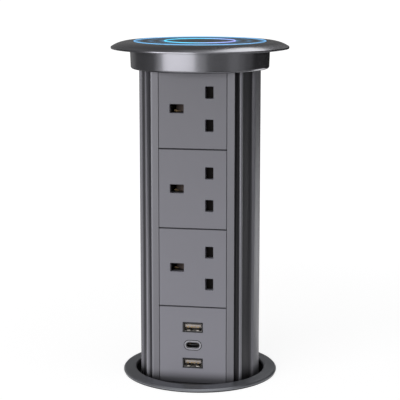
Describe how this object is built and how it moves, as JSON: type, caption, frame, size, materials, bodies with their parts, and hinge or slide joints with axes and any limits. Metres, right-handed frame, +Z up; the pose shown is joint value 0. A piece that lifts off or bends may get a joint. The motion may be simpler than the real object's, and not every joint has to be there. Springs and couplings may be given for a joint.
{
  "type": "pop up desk socket",
  "caption": "Round desk tower that slides up through a clamped flange, with mains sockets and charging ports in its flat front and a wireless charging head.",
  "frame": {"origin": "on the column's axis, in the plane of the worktop that the flange rests on", "axes": "+Z up along the column; the sockets face -Y; the column is drawn fully raised"},
  "size_m": [0.122, 0.122, 0.2944],
  "materials": {
    "column_metal": "dark grey anodised, fine vertical drawn grain",
    "head_metal": "dark grey anodised, turned and satin",
    "flange_metal": "grey anodised, brushed round the ring",
    "face_plastic": "grey satin, finely textured",
    "pad_plastic": "smooth dark grey",
    "light_guide": "translucent pale blue light guide",
    "shutter_plastic": "near-black moulded",
    "housing_plastic": "black moulded, fine spark texture",
    "board_laminate": "green solder mask",
    "coil_copper": "enamelled copper wire",
    "ferrite": "polymer-bonded ferrite sheet",
    "contact_brass": "stamped brass",
    "port_steel": "nickel-plated sheet",
    "bezel_plastic": "light grey satin",
    "screw_steel": "bright zinc-plated",
    "zinc_steel": "zinc-plated pressed steel",
    "black_rubber": "matt black",
    "glide_nylon": "natural nylon"
  },
  "bodies": {
    "flange_and_sleeve": {"desk_flange": "flange_metal", "flange_gasket": "black_rubber", "guide_sleeve": "housing_plastic", "dust_seal": "black_rubber", "glide_pad_left": "glide_nylon", "glide_pad_rear": "glide_nylon", "glide_pad_right": "glide_nylon"},
    "clamp": {"clamp_washer": "zinc_steel", "washer_pad": "black_rubber"},
    "clamp_nut": {"ring_nut": "housing_plastic"},
    "top_shutter": {"shutter_top": "shutter_plastic"},
    "middle_shutter": {"shutter_middle": "shutter_plastic"},
    "lower_shutter": {"shutter_lower": "shutter_plastic"},
    "tower": {"base_cap": "housing_plastic", "base_screws": "screw_steel", "blank_back": "housing_plastic", "blank_face": "face_plastic", "cable_gland": "housing_plastic", "carrier_screws": "screw_steel", "charger_board": "board_laminate", "charging_coil": "coil_copper", "charging_pad": "pad_plastic", "collar": "head_metal", "column_extrusion": "column_metal", "disc_screws": "screw_steel", "earth_busbar": "contact_brass", "ferrite_disc": "ferrite", "gland_locknut": "housing_plastic", "gland_nut": "housing_plastic", "head_carrier": "housing_plastic", "head_disc": "head_metal", "light_ring_inner": "light_guide", "light_ring_outer": "light_guide", "live_busbar": "contact_brass", "neutral_busbar": "contact_brass", "shutter_spring_lower": "screw_steel", "shutter_spring_middle": "screw_steel", "shutter_spring_top": "screw_steel", "socket_back_lower": "housing_plastic", "socket_back_middle": "housing_plastic", "socket_back_top": "housing_plastic", "socket_face_lower": "face_plastic", "socket_face_middle": "face_plastic", "socket_face_top": "face_plastic", "terminal_block": "housing_plastic", "usb_a_port_lower": "port_steel", "usb_a_port_upper": "port_steel", "usb_back": "housing_plastic", "usb_board": "board_laminate", "usb_c_bezel": "bezel_plastic", "usb_c_port": "port_steel", "usb_face": "face_plastic"}
  },
  "joints": [
    {"name": "tower_slide", "type": "slide", "parent": "flange_and_sleeve", "child": "tower", "axis": [0, 0, 1], "range_m": [-0.2105, 0]},
    {"name": "clamp_slide", "type": "slide", "parent": "flange_and_sleeve", "child": "clamp", "axis": [0, 0, 1], "range_m": [-0.02002, 0.01502]},
    {"name": "ring_nut_turn", "type": "hinge", "parent": "clamp", "child": "clamp_nut", "pos_m": [0, 0, -0.035], "axis": [0, 0, 1], "range_deg": [-2400, 1800]},
    {"name": "top_shutter_slide", "type": "slide", "parent": "tower", "child": "top_shutter", "axis": [1, 0, 0], "range_m": [0, 0.0066], "stiffness_N_per_m": 100, "springref_m": -0.003, "deforming": ["shutter_spring_top"]},
    {"name": "middle_shutter_slide", "type": "slide", "parent": "tower", "child": "middle_shutter", "axis": [1, 0, 0], "range_m": [0, 0.0066], "stiffness_N_per_m": 100, "springref_m": -0.003, "deforming": ["shutter_spring_middle"]},
    {"name": "lower_shutter_slide", "type": "slide", "parent": "tower", "child": "lower_shutter", "axis": [1, 0, 0], "range_m": [0, 0.0066], "stiffness_N_per_m": 100, "springref_m": -0.003, "deforming": ["shutter_spring_lower"]}
  ],
  "couplings": [
    {"joint": "clamp_slide", "follows": "ring_nut_turn", "m_per_rad": 0.00047746}
  ]
}
